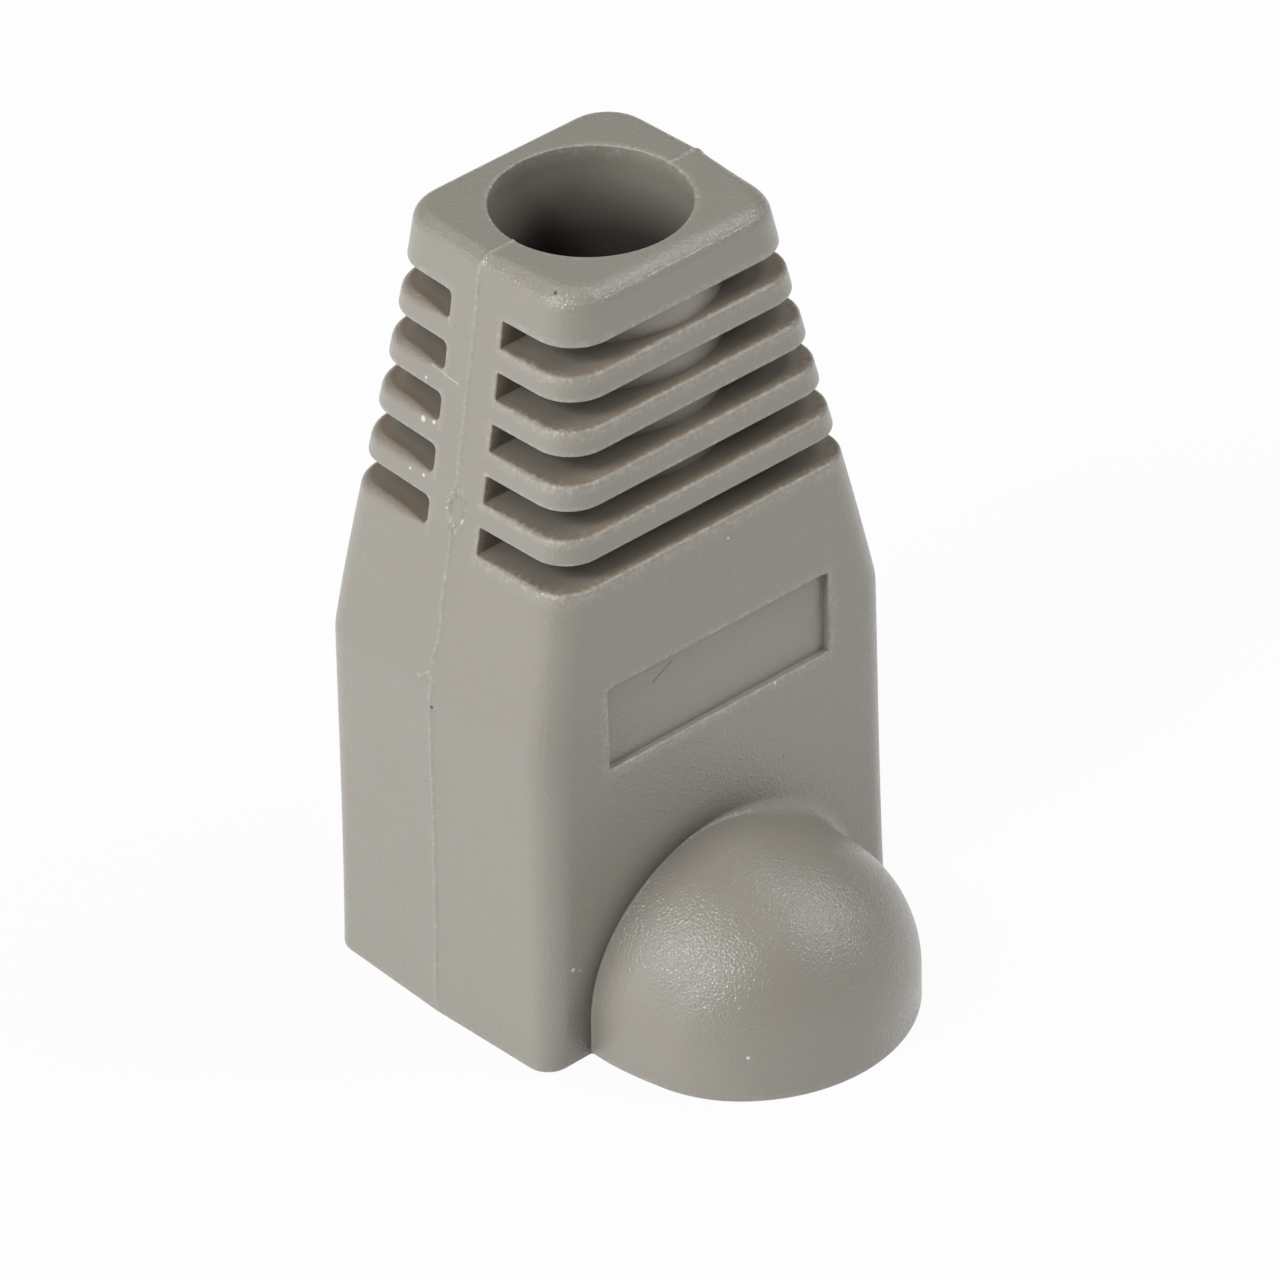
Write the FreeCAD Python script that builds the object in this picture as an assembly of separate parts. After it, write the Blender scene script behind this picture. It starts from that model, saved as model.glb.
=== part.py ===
"""Strain relief boot for a modular plug, moulded in one piece from soft PVC.

Millimetres, +Z up along the cable. The origin is the centre of the mouth, on the cable's axis.
The plug slips in at the mouth (z = 0) and the cable leaves through the bore at the top.
The broad front with the latch hood faces -Y, and the narrow sides face +X and -X.
"""
import FreeCAD, Part
import math
import os

V = FreeCAD.Vector

# Outside of the sleeve, which flares a little at the mouth and draws in to the neck above the waist
boot_height = 24.8
waist_height = 11.2
mouth_width = 14.0
waist_width = 13.58
top_width = 8.3
mouth_depth = 9.35
waist_depth = 9.72
top_depth = 7.45
neck_hollow = 0.23
shoulder_fullness = 1.2
draft_angle = 2.0
mouth_corner_radius = 0.75
waist_corner_radius = 1.05
top_corner_radius = 1.4
top_edge_radius = 0.6

# Hood over the plug's latch, at the mouth of the front
hood_width = 9.75
hood_reach = 10.75
hood_nose = 4.5
hood_shoulder_radius = 4.25
hood_skirt = 1.1
hood_fillet = 0.45
hood_wall = 0.95

# Socket for the rear end of the plug
socket_width = 12.0
socket_depth = 7.5
socket_length = 10.6
socket_corner_radius = 0.5

# Way for the cable
bore_radius = 2.9
bore_lead_in = 0.8
tube_wall = 0.76

# Slots that let the neck bend
slot_count = 5
slot_height = 0.85
slot_pitch = 1.605
cap_thickness = 1.58
spine_thickness = 2.14

# Shallow recess for a marking on the front, left bare
recess_width = 8.5
recess_height = 2.76
recess_centre_height = 11.09
recess_depth = 0.35
recess_corner_radius = 0.25

# Cutters reach this far past what they cut, and an edge this near to a surface lies on it
clear = 2.0
near = 0.05

# Sections that each length of the sleeve is drawn through
body_section_count = 4
neck_section_count = 5


def neck_share(height):
    """How far up the neck a height is, from 0 at the waist to 1 at the top."""
    return (height - waist_height) / (boot_height - waist_height)


def width_at(height):
    """Width between the narrow sides, at the parting plane."""
    if height <= waist_height:
        flare = (1 - height / waist_height) ** 3
        return waist_width + (mouth_width - waist_width) * flare
    share = neck_share(height)
    straight = waist_width + (top_width - waist_width) * share
    return straight - neck_hollow * 4 * share * (1 - share)


def depth_at(height):
    """Depth from the front to the back. Both are upright at the waist."""
    if height <= waist_height:
        flare = (1 - height / waist_height) ** 2
        return waist_depth + (mouth_depth - waist_depth) * flare
    share = neck_share(height)
    fall = share ** 2 * (1 + shoulder_fullness * (1 - share))
    return waist_depth + (top_depth - waist_depth) * fall


def corner_radius_at(height):
    """Radius of the four long corners."""
    if height <= waist_height:
        return mouth_corner_radius + (waist_corner_radius - mouth_corner_radius) * height / waist_height
    return waist_corner_radius + (top_corner_radius - waist_corner_radius) * neck_share(height)


def section(height):
    """Outline of the sleeve at one height: narrow sides drafted both ways, and rounded corners."""
    half_width = width_at(height) / 2
    half_depth = depth_at(height) / 2
    radius = corner_radius_at(height)
    draft = math.radians(draft_angle)
    centre_y = half_depth - radius
    centre_x = half_width - math.tan(draft) * centre_y - radius / math.cos(draft)
    corner = []
    for angle in (draft, (draft + math.pi / 2) / 2, math.pi / 2):
        corner.append((centre_x + radius * math.cos(angle), centre_y + radius * math.sin(angle)))

    quarters = []
    for x_side, y_side in ((1, 1), (-1, 1), (-1, -1), (1, -1)):
        points = [V(x_side * x, y_side * y, height) for x, y in corner]
        quarters.append(points if x_side == y_side else points[::-1])
    edges = []
    for quarter, following in zip(quarters, quarters[1:] + quarters[:1]):
        edges.append(Part.Arc(*quarter).toShape())
        stops = [quarter[-1], following[0]]
        if stops[0].x * stops[1].x > 0:
            stops.insert(1, V(math.copysign(half_width, stops[0].x), 0, height))
        edges += [Part.makeLine(start, end) for start, end in zip(stops, stops[1:])]
    return Part.Wire(edges)


def length_of_sleeve(low, high, count):
    """Solid length of the sleeve, drawn smoothly through evenly spaced sections."""
    heights = [low + (high - low) * number / (count - 1) for number in range(count)]
    return Part.makeLoft([section(height) for height in heights], True, False)


def sleeve():
    """The outside of the sleeve: the body up to the waist, and the neck with its rounded top edge."""
    body = length_of_sleeve(0, waist_height, body_section_count)
    neck = length_of_sleeve(waist_height, boot_height, neck_section_count)
    top_edges = [edge for edge in neck.Edges if edge.BoundBox.ZMin > boot_height - near]
    neck = neck.makeFillet(top_edge_radius, top_edges)
    return body.fuse(neck)


def oval(half_width, nose, shoulder_radius):
    """Half of an oval on the XY plane, nose towards +Y: a flatter arc between two shoulder arcs."""
    shoulder_x = half_width - shoulder_radius
    nose_radius = (shoulder_x ** 2 + nose ** 2 - shoulder_radius ** 2) / (2 * (nose - shoulder_radius))
    turn = math.asin(shoulder_x / (nose_radius - shoulder_radius))
    joint_x = nose_radius * math.sin(turn)
    joint_y = nose - nose_radius + nose_radius * math.cos(turn)
    middle_angle = (math.pi / 2 - turn) / 2
    middle_x = shoulder_x + shoulder_radius * math.cos(middle_angle)
    middle_y = shoulder_radius * math.sin(middle_angle)
    right, left = V(half_width, 0, 0), V(-half_width, 0, 0)
    right_joint, left_joint = V(joint_x, joint_y, 0), V(-joint_x, joint_y, 0)
    arcs = [
        Part.Arc(right, V(middle_x, middle_y, 0), right_joint).toShape(),
        Part.Arc(right_joint, V(0, nose, 0), left_joint).toShape(),
        Part.Arc(left_joint, V(-middle_x, middle_y, 0), left).toShape(),
    ]
    return Part.Face(Part.Wire(arcs + [Part.makeLine(left, right)]))


def hood(inset):
    """Round-nosed hood that stands out of the front: an arch that ends in a quarter of an oval ball."""
    half_width = hood_width / 2 - inset
    nose = hood_nose - inset
    centre_y = hood_nose - hood_reach
    half_oval = oval(half_width, nose, hood_shoulder_radius - inset)

    ball = half_oval.revolve(V(0, 0, 0), V(1, 0, 0), 360)
    ball.translate(V(0, centre_y, hood_skirt))
    front_corner = V(-half_width - clear, centre_y - nose - clear, hood_skirt)
    front = Part.makeBox(2 * (half_width + clear), nose + clear, nose + clear, front_corner)
    rounded_nose = ball.common(front)

    arch_face = half_oval.copy()
    arch_face.rotate(V(0, 0, 0), V(1, 0, 0), 90)
    arch_face.translate(V(0, centre_y, hood_skirt))
    arch = arch_face.extrude(V(0, -centre_y, 0))
    walls = Part.makeBox(2 * half_width, -centre_y, hood_skirt, V(-half_width, centre_y, 0))

    foot_face = half_oval.copy()
    foot_face.rotate(V(0, 0, 0), V(0, 0, 1), 180)
    foot_face.translate(V(0, centre_y, 0))
    skirt = foot_face.extrude(V(0, 0, hood_skirt))
    return rounded_nose.fuse([arch, walls, skirt]).removeSplitter()


def hood_foot_edges(shape):
    """Edges where the hood stands on the front."""
    found = []
    for edge in shape.Edges:
        middle = edge.valueAt((edge.FirstParameter + edge.LastParameter) / 2)
        on_front = abs(middle.y + depth_at(middle.z) / 2) < near
        in_hood = abs(middle.x) < hood_width / 2 + near and near < middle.z < hood_nose + hood_skirt + near
        if on_front and in_hood:
            found.append(edge)
    return found


def rounded_box(width, depth, height, radius, axis):
    """Box centred on its axis with the four edges along that axis rounded."""
    box = Part.makeBox(width, depth, height, V(-width / 2, -depth / 2, 0))
    along = [edge for edge in box.Edges if abs(edge.tangentAt(edge.FirstParameter).dot(axis)) > 1 - near]
    return box.makeFillet(radius, along)


def socket():
    """Hollow that takes the plug's rear end, open at the mouth, with the hood's own hollow."""
    plug_space = rounded_box(socket_width, socket_depth, socket_length + clear, socket_corner_radius, V(0, 0, 1))
    plug_space.translate(V(0, 0, -clear))
    latch_space = hood(hood_wall)
    below = latch_space.copy()
    below.translate(V(0, 0, -hood_skirt))
    return plug_space.fuse([latch_space, below])


def cable_way():
    """Round bore from the socket to the top, with a short cone that leads the cable in."""
    bore = Part.makeCylinder(bore_radius, boot_height - socket_length + clear, V(0, 0, socket_length))
    lead_in = Part.makeCone(bore_radius + bore_lead_in, bore_radius, bore_lead_in, V(0, 0, socket_length))
    return bore.fuse(lead_in)


def slots():
    """Slots on the front and the back, cut in to the round tube and ending at the two spines."""
    tube = Part.makeCylinder(bore_radius + tube_wall, boot_height)
    reach = waist_depth / 2 + clear
    cutters = []
    for number in range(slot_count):
        top = boot_height - cap_thickness - number * slot_pitch
        for start_y in (spine_thickness / 2, -reach):
            corner = V(-waist_width / 2 - clear, start_y, top - slot_height)
            slot = Part.makeBox(waist_width + 2 * clear, reach - spine_thickness / 2, slot_height, corner)
            cutters.append(slot.cut(tube))
    return cutters


def recess():
    """Shallow pocket on the front, with its floor parallel to the wall there."""
    depth = recess_depth + clear
    pocket = rounded_box(recess_width, depth, recess_height, recess_corner_radius, V(0, 1, 0))
    pocket.translate(V(0, -waist_depth / 2 + recess_depth - depth / 2, recess_centre_height - recess_height / 2))
    return pocket


def boot():
    """The whole moulding."""
    outside = sleeve().fuse(hood(0)).removeSplitter()
    outside = outside.makeFillet(hood_fillet, hood_foot_edges(outside))
    return outside.cut([socket(), cable_way(), recess()] + slots()).removeSplitter()


os.makedirs("parts", exist_ok=True)
moulding = boot()
if len(moulding.Solids) != 1 or not moulding.isValid():
    raise ValueError("the boot isn't one sound solid")
moulding.Solids[0].exportStep("parts/boot.step")
print("volume in cubic mm", round(moulding.Volume, 2), "faces", len(moulding.Faces))
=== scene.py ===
"""Strain relief boot for a modular plug: the moulding, its soft PVC finish and a small studio."""

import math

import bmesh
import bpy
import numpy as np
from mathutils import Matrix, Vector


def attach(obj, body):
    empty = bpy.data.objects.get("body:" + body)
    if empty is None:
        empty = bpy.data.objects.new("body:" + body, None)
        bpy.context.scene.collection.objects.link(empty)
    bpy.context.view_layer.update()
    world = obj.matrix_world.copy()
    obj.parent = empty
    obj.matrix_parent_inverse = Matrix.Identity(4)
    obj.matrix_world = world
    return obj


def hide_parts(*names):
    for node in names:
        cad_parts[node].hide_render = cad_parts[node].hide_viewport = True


bl_info = {
    "name": "Strain Relief Boot",
    "version": (1, 0, 0),
    "blender": (4, 5, 0),
    "location": "3D View > Sidebar > Boot",
    "description": "Soft PVC strain relief boot for a modular plug, on a plain studio floor",
    "category": "Object",
}

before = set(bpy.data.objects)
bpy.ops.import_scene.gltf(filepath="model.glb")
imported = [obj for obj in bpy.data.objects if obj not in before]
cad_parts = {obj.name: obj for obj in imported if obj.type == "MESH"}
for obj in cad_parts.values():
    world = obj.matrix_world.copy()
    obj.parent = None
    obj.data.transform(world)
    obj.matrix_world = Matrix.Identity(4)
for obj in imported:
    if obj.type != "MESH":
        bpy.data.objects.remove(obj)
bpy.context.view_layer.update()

# Sizes are written in millimetres, and Blender works in metres
MM = 0.001

# Points of two patches that are nearer than this, in metres, are one point
WELD = 1e-7

# Keeps a division by a length sound where that length is nothing
TINY = 1e-12

# What the lights and the camera aim at
MIDDLE = Vector((0, 0, 11 * MM))


def length(name, description, millimetres):
    """A length that the user can change, kept in metres."""
    return bpy.props.FloatProperty(
        name=name, description=description, default=millimetres * MM, min=0.0, unit="LENGTH", precision=5)


def turn(name, description, degrees):
    """An angle that the user can change."""
    return bpy.props.FloatProperty(
        name=name, description=description, default=math.radians(degrees), subtype="ANGLE", unit="ROTATION")


def share(name, description, value, top=1.0):
    """A plain number from nothing to top."""
    return bpy.props.FloatProperty(name=name, description=description, default=value, min=0.0, max=top)


def linear(hex_colour):
    """An sRGB hex colour as linear red, green and blue."""
    channels = [int(hex_colour[start:start + 2], 16) / 255 for start in (1, 3, 5)]
    return [c / 12.92 if c <= 0.04045 else ((c + 0.055) / 1.055) ** 2.4 for c in channels]


def colour(name, description, hex_colour):
    """A colour that the user can change."""
    return bpy.props.FloatVectorProperty(
        name=name, description=description, default=linear(hex_colour), size=3, min=0.0, max=1.0,
        subtype="COLOR")


class BootSizes(bpy.types.PropertyGroup):
    """The sizes of the moulding."""

    boot_height: length("Height", "From the mouth to the top of the cap", 24.8)
    waist_height: length("Waist height", "Where the narrow sides turn in to the neck", 11.2)
    waist_softness: length("Waist softness", "How far the turn at the waist is spread up and down", 0.22)
    mouth_width: length("Mouth width", "Between the narrow sides at the mouth", 14.0)
    waist_width: length("Waist width", "Between the narrow sides at the waist", 13.58)
    top_width: length("Top width", "Between the narrow sides at the top", 8.3)
    mouth_depth: length("Mouth depth", "From the front to the back at the mouth", 9.35)
    waist_depth: length("Waist depth", "From the front to the back at the waist", 9.72)
    top_depth: length("Top depth", "From the front to the back at the top", 7.45)
    neck_hollow: length("Neck hollow", "How much the neck's narrow sides bow in at half height", 0.23)
    shoulder_fullness: share("Shoulder fullness", "How early the front and back draw in", 1.2, 2.0)
    draft: turn("Draft", "Lean of the narrow sides away from the parting plane", 2.0)
    mouth_corner_radius: length("Mouth corner radius", "Long corners at the mouth", 0.75)
    waist_corner_radius: length("Waist corner radius", "Long corners at the waist", 1.05)
    top_corner_radius: length("Top corner radius", "Long corners at the top", 1.4)
    top_edge_radius: length("Top edge radius", "Rounding round the top of the cap, at the front", 0.6)
    back_edge_radius: length("Back edge radius", "The same rounding at the back and the right", 0.36)
    hood_width: length("Hood width", "Latch hood from side to side", 9.75)
    hood_reach: length("Hood reach", "From the cable's axis to the tip of the hood", 10.75)
    hood_nose: length("Hood nose", "Half height of the rounded nose", 4.5)
    hood_shoulder_radius: length("Hood shoulder radius", "Sides of the hood's arch", 4.25)
    hood_skirt: length("Hood skirt", "Upright foot of the hood", 1.1)
    hood_fillet: length("Hood fillet", "Fillet where the hood's right meets the front", 0.45)
    hood_tight_fillet: length("Hood tight fillet", "The same fillet at the hood's left and top", 0.06)
    tight_start: turn("Tight start", "Where the hood's foot starts to tighten, up from its right", 60)
    tight_span: turn("Tight span", "How much further round it is tightest", 45)
    crease_reach: length("Crease reach", "How far the shade at the hood's foot spreads", 1.3)
    crease_shade: share("Crease shade", "How dark the front is at the hood's foot", 0.8)
    hood_side_swell: length("Hood side swell", "How far the hood's left side swells beyond its arch", 0.22)
    hood_top_swell: length("Hood top swell", "How far the hood's top swells beyond its arch", 0.42)
    hood_wall: length("Hood wall", "Wall of the hood", 0.95)
    socket_width: length("Socket width", "Plug socket from side to side", 12.0)
    socket_depth: length("Socket depth", "Plug socket from front to back", 7.5)
    socket_length: length("Socket length", "How far the plug goes in", 10.6)
    socket_corner_radius: length("Socket corner radius", "Long corners of the socket", 0.5)
    bore_radius: length("Bore radius", "Way for the cable", 2.9)
    bore_lead_in: length("Bore lead in", "Cone at the foot of the bore", 0.8)
    tube_wall: length("Tube wall", "Wall of the round tube behind the slots", 0.76)
    slot_count: bpy.props.IntProperty(name="Slots", description="Slots up the neck", default=5, min=1)
    slot_height: length("Slot height", "Gap between two fins", 0.85)
    slot_pitch: length("Slot pitch", "From one slot to the next", 1.605)
    cap_thickness: length("Cap thickness", "From the top down to the first slot", 1.58)
    spine_thickness: length("Spine thickness", "Web left between the slots at each narrow side", 2.14)
    recess_width: length("Recess width", "Blank marking recess on the front", 8.5)
    recess_height: length("Recess height", "Blank marking recess on the front", 2.76)
    recess_centre_height: length("Recess centre", "Height of the recess's middle", 11.09)
    recess_depth: length("Recess depth", "Depth of the recess", 0.24)
    recess_corner_radius: length("Recess corner radius", "Corners of the recess", 0.12)
    slot_corner_radius: length("Back slot corner radius", "Corners of the back slots at the sides", 0.19)
    front_slot_corner_radius: length("Front slot corner radius", "Corners of the front slots there", 0.04)
    fin_lip: length("Back fin lip", "Rounding of the back fins' upper edges, away from the spines", 0.27)
    front_fin_lip: length("Front fin lip", "Rounding of the front fins' upper edges", 0.13)
    fin_lip_run: length("Fin lip run", "From the spine to where the back fins' rounding is full", 1.5)
    slot_lip: length("Slot lip", "Rounding of the slots' other edges", 0.06)
    rim_lip: length("Rim lip", "Rounding of the mouth's edges", 0.1)
    # How far the painted warm glow, for light shining through the PVC, reaches into a slot; the painted
    # shade in the slots is measured by this reach too
    slot_glow_reach: length("Stain reach", "How far the warm stain reaches in to a slot", 0.3)
    bore_lip: length("Bore lip", "Rounding of the bore's top edge", 0.05)
    # The painted shade on the bore's wall starts and is darkest at these depths
    shade_start: length("Shade start", "Depth in the bore where its skin starts to darken", 1.0)
    shade_end: length("Shade end", "Depth in the bore where its skin is darkest", 3.0)
    recess_lip: length("Recess lip", "Rounding of the recess's edges", 0.06)
    flash_height: length("Flash height", "Thin ridge that the mould's parting line leaves", 0.045)
    flash_width: length("Flash width", "Half the width of that ridge", 0.11)
    flash_step_height: length("Flash step", "Height of the step in the parting line", 11.68)
    gate_height: length("Gate height", "Middle of the gate's scar on the left side", 16.93)
    gate_length: length("Gate length", "Scar of the gate along the parting line", 1.3)
    gate_width: length("Gate width", "Scar of the gate across the parting line", 0.68)
    neck_lean: length("Neck lean", "How far the soft neck's top has settled to the left", 0.13)


# What the mesh tells the material about each point, from 0 to 1: edge wear, a painted warm glow just inside
# the slots, painted shade in the deep places, and how smooth the skin is
MARKS = ("edge_wear", "slot_stain", "deep_shade", "smooth_skin")


class Marked:
    """How strongly the places of the moulding carry those marks."""

    rim_wear = 0.3
    front_fin_wear = 0.5
    slot_top_wear = 0.6
    slot_end_wear = 0.45
    recess_wear = 0.5
    bore_wear = 0.6
    cap_line_pale_and_glint = 0.45
    front_cap_line_pale_and_glint = 1.0
    hood_shade = 0.5
    fin_shade = 0.35
    slot_end_shade = (0.4, 1.0)
    fin_smoothness = 0.8
    slot_end_smoothness = 1.0
    tube_smoothness = 0.5
    bore_smoothness = 0.7


# Where the mould's parting line runs: height, and how far towards the back, in millimetres
PARTING_LINE = np.array((
    (0, 0), (9, -0.02), (11.62, -0.07), (11.68, 0), (12.4, -0.01), (13.2, -0.13),
    (14.1, -0.02), (16.3, -0.05), (18.7, 0.02), (24.8, -0.04))) * MM


class Smooth:
    """How finely each form is divided."""

    side_shares = (0.03, 0.07, 0.12, 0.2, 0.32, 0.48, 0.65, 0.82, 1.0)
    spine_shares = (0.03, 0.06, 0.09, 0.13, 0.18, 0.24, 0.3, 0.36, 0.42, 0.48, 0.62, 0.8, 1.0)
    corner = 10
    outer_face = 4
    inner_face = 26
    leg_rows = 5
    hood_rows = 18
    rungs = 6
    rung_bunching = 1.6
    fillet = 6
    barrel = 8
    dome = 26
    lip = 4
    floor = 7
    below_recess = 6
    recess_ends = 4
    waist = 4
    flash_step = 10
    above_recess = 14
    recess_wall = 3
    fin = 4
    gate_fin = 12
    bore = 28
    cone = 3
    socket = 6
    sharp_degrees = 38
    slot_shares = (0, 0.06, 0.13, 0.25, 0.5, 0.75, 0.87, 0.94, 1)
    gate_slot_shares = (0, 0.06, 0.13, 0.22, 0.31, 0.4, 0.49, 0.58, 0.67, 0.76, 0.85, 0.93, 1)
    cap_turns = (8, 16, 24, 28, 31.5, 35, 41, 50, 60, 70, 80, 90)
    cap_line_turn = 31.5


def steps(low, high, count):
    """Evenly spaced values from low to high, both included."""
    return np.linspace(low, high, count + 1)


def smooth_step(value):
    """A value held between 0 and 1, with a soft start and a soft end."""
    value = np.clip(value, 0, 1)
    return value * value * (3 - 2 * value)


def away_from_start(rows):
    """How far each point of a grid is from the first point of its column."""
    rows = np.asarray(rows, float)
    return np.linalg.norm(rows - rows[:1], axis=2)


def turned_in(s, z):
    """Height above the waist, eased over the waist's softness."""
    above = z - s.waist_height
    soft = s.waist_softness
    eased = (above + soft) ** 2 / (4 * soft)
    return np.where(above <= -soft, 0.0, np.where(above >= soft, above, eased))


def half_width(s, z):
    """Half the width at a height, at the parting plane."""
    flare = np.clip(1 - z / s.waist_height, 0, 1) ** 3
    up = turned_in(s, z) / (s.boot_height - s.waist_height)
    straight = s.waist_width + (s.mouth_width - s.waist_width) * flare + (s.top_width - s.waist_width) * up
    return (straight - s.neck_hollow * 4 * up * (1 - up)) / 2


def half_depth(s, z):
    """Half the depth at a height."""
    flare = np.clip(1 - z / s.waist_height, 0, 1) ** 2
    up = np.clip((z - s.waist_height) / (s.boot_height - s.waist_height), 0, None)
    fall = up ** 2 * (1 + s.shoulder_fullness * (1 - up))
    depth = s.waist_depth + (s.mouth_depth - s.waist_depth) * flare + (s.top_depth - s.waist_depth) * fall
    return depth / 2


def corner_radius(s, z):
    """Radius of the long corners at a height."""
    heights = (0, s.waist_height, s.boot_height)
    return np.interp(z, heights, (s.mouth_corner_radius, s.waist_corner_radius, s.top_corner_radius))


def stations():
    """Columns round the wall, from the end of the front right corner, once round to the same corner.

    Each is (zone, place within the zone, side of X, side of Y).
    """
    side = list(Smooth.side_shares)
    corner = [step / Smooth.corner for step in range(1, Smooth.corner + 1)]
    outer = [step / Smooth.outer_face for step in range(1, Smooth.outer_face + 1)]
    inner = [step / Smooth.inner_face * 2 - 1 for step in range(1, Smooth.inner_face)]
    spine = [-t for t in reversed(Smooth.spine_shares)] + [0] + list(Smooth.spine_shares)
    ring = []
    for x_side in (1, -1):
        near_y = -x_side
        ring += [("corner", t, x_side, near_y) for t in corner[::-1]]
        ring += [("side", t, x_side, near_y) for t in side[::-1]]
        ring += [("spine", t * x_side, x_side, 1) for t in spine]
        ring += [("side", t, x_side, -near_y) for t in side[:-1]]
        ring += [("corner", t, x_side, -near_y) for t in [0] + corner]
        ring += [("outer", t, x_side, -near_y) for t in outer]
        ring += [("inner", t * -x_side, 1, -near_y) for t in inner]
        ring += [("outer", t, -x_side, -near_y) for t in outer[::-1]]
    return ring


def parting_line(z):
    """How far towards the back the parting line wanders at a height, with its step above the waist."""
    return np.interp(z, *PARTING_LINE.T)


class Ring:
    """The columns round a wall as arrays, and the numbers of the ones that other forms start from."""

    def __init__(self):
        zones, places, x_sides, y_sides = zip(*stations())
        self.zone = np.array(zones)
        self.place = np.array(places)
        self.x_side = np.array(x_sides)
        self.y_side = np.array(y_sides)
        self.count = len(zones)
        face = [n for n in range(self.count) if self.zone[n] in ("outer", "inner") and self.y_side[n] < 0]
        self.front = [face[0] - 1] + face + [0]
        self.round_back = list(range(0, face[0]))
        spine = [n for n in range(self.count) if self.zone[n] == "spine"]
        right = [n for n in spine if self.x_side[n] > 0]
        left = [n for n in spine if self.x_side[n] < 0]
        self.back_window = list(range(right[-1], left[0] + 1))
        self.front_window = [n % self.count for n in range(left[-1], self.count + right[0] + 1)]
        marked = [n for n in face if self.zone[n] == "inner"]
        self.recess = [marked[0] - 1] + marked + [marked[-1] + 1]

    def points(self, half_x, half_y, radius, draft, spine_edge, mark):
        """X and Y of every column on a wall of these sizes."""
        lean = math.tan(draft)
        centre_y = half_y - radius
        centre_x = half_x - lean * centre_y - radius / math.cos(draft)
        side_end = centre_y + radius * math.sin(draft)
        x = np.zeros(self.count)
        y = np.zeros(self.count)
        spine = self.zone == "spine"
        y[spine] = self.place[spine] * spine_edge
        side = self.zone == "side"
        y[side] = self.y_side[side] * (spine_edge + self.place[side] * (side_end - spine_edge))
        flat = spine | side
        x[flat] = self.x_side[flat] * (half_x - lean * np.abs(y[flat]))
        corner = self.zone == "corner"
        angle = draft + self.place[corner] * (math.pi / 2 - draft)
        x[corner] = self.x_side[corner] * (centre_x + radius * np.cos(angle))
        y[corner] = self.y_side[corner] * (centre_y + radius * np.sin(angle))
        outer = self.zone == "outer"
        x[outer] = self.x_side[outer] * (centre_x + self.place[outer] * (mark - centre_x))
        inner = self.zone == "inner"
        x[inner] = self.place[inner] * mark
        face = outer | inner
        y[face] = self.y_side[face] * half_y
        return x, y


class Shape:
    """Collects the patches of the moulding's surface."""

    def __init__(self, s):
        self.s = s
        self.ring = Ring()
        self.patches = []
        self.spine_edge = s.spine_thickness / 2 - s.slot_lip
        self.mark = s.recess_width / 2 + s.recess_lip
        self.recess_low = s.recess_centre_height - s.recess_height / 2
        self.recess_high = s.recess_centre_height + s.recess_height / 2
        self.corner_x_at_recess = self.corner_x(self.recess_high + s.recess_lip)
        self.patch_top = (s.hood_skirt + s.hood_nose + s.hood_fillet + self.recess_low) / 2
        self.low = s.rim_lip

    def add(self, points, cells=None, **marks):
        """Keeps a grid of points as a patch, with its marks and with which of its cells are there."""
        points = np.asarray(points, float)
        state = np.zeros(points.shape[:2] + (len(MARKS),))
        for name, amount in marks.items():
            state[..., MARKS.index(name)] = amount
        if cells is None:
            cells = np.ones((len(points) - 1, points.shape[1] - 1), bool)
        self.patches.append((points, state, cells))

    def corner_x(self, z):
        """X at which the front ends and its rounded corner starts."""
        s = self.s
        radius = corner_radius(s, z)
        centre_y = half_depth(s, z) - radius
        return half_width(s, z) - math.tan(s.draft) * centre_y - radius / math.cos(s.draft)

    def outside(self, z, inset=0.0):
        """The columns round the outside wall at a height, moved in by an inset."""
        s = self.s
        mark = self.mark * min(1.0, self.corner_x(z) / self.corner_x_at_recess)
        x, y = self.ring.points(half_width(s, z) - inset / math.cos(s.draft), half_depth(s, z) - inset,
                                corner_radius(s, z) - inset, s.draft, self.spine_edge, mark)
        spine = self.ring.zone == "spine"
        y[spine] += parting_line(z) * (1 - np.abs(self.ring.place[spine]))
        return np.stack([x, y, np.full(x.shape, z)], axis=1)

    def inside(self, z):
        """The columns round the socket's wall at a height."""
        s = self.s
        x, y = self.ring.points(s.socket_width / 2, s.socket_depth / 2, s.socket_corner_radius, 0.0,
                                self.spine_edge, self.mark)
        return np.stack([x, y, np.full(x.shape, z)], axis=1)

    def side_point(self, x_side, y, z, inset):
        """A point of the outside's narrow side."""
        s = self.s
        x = half_width(s, z) - inset / math.cos(s.draft) - math.tan(s.draft) * abs(y)
        return (x_side * x, y, z)


def ladder(outer, inner, rungs):
    """Grid between two rows of as many points."""
    outer = np.asarray(outer, float)
    inner = np.asarray(inner, float)
    return np.array([outer + (inner - outer) * (k / rungs) for k in range(rungs + 1)])


def slot_glow_fade(s, rows):
    """How much painted warm glow, for light shining through the PVC, the rows of a slot's wall take, less
    and less with the distance from its mouth.
    """
    return np.exp(-away_from_start(rows) / s.slot_glow_reach)


def closed(rows):
    """A grid whose columns run once round, with the first column again at the end."""
    rows = np.asarray(rows, float)
    return np.concatenate([rows, rows[:, :1]], axis=1)


def lip_levels(radius):
    """Rounded edge from one face to the next: (distance still to go, depth reached) at each level."""
    angles = steps(0, math.pi / 2, Smooth.lip)
    return [(radius * (1 - math.sin(a)), radius * (1 - math.cos(a))) for a in angles]


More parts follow.
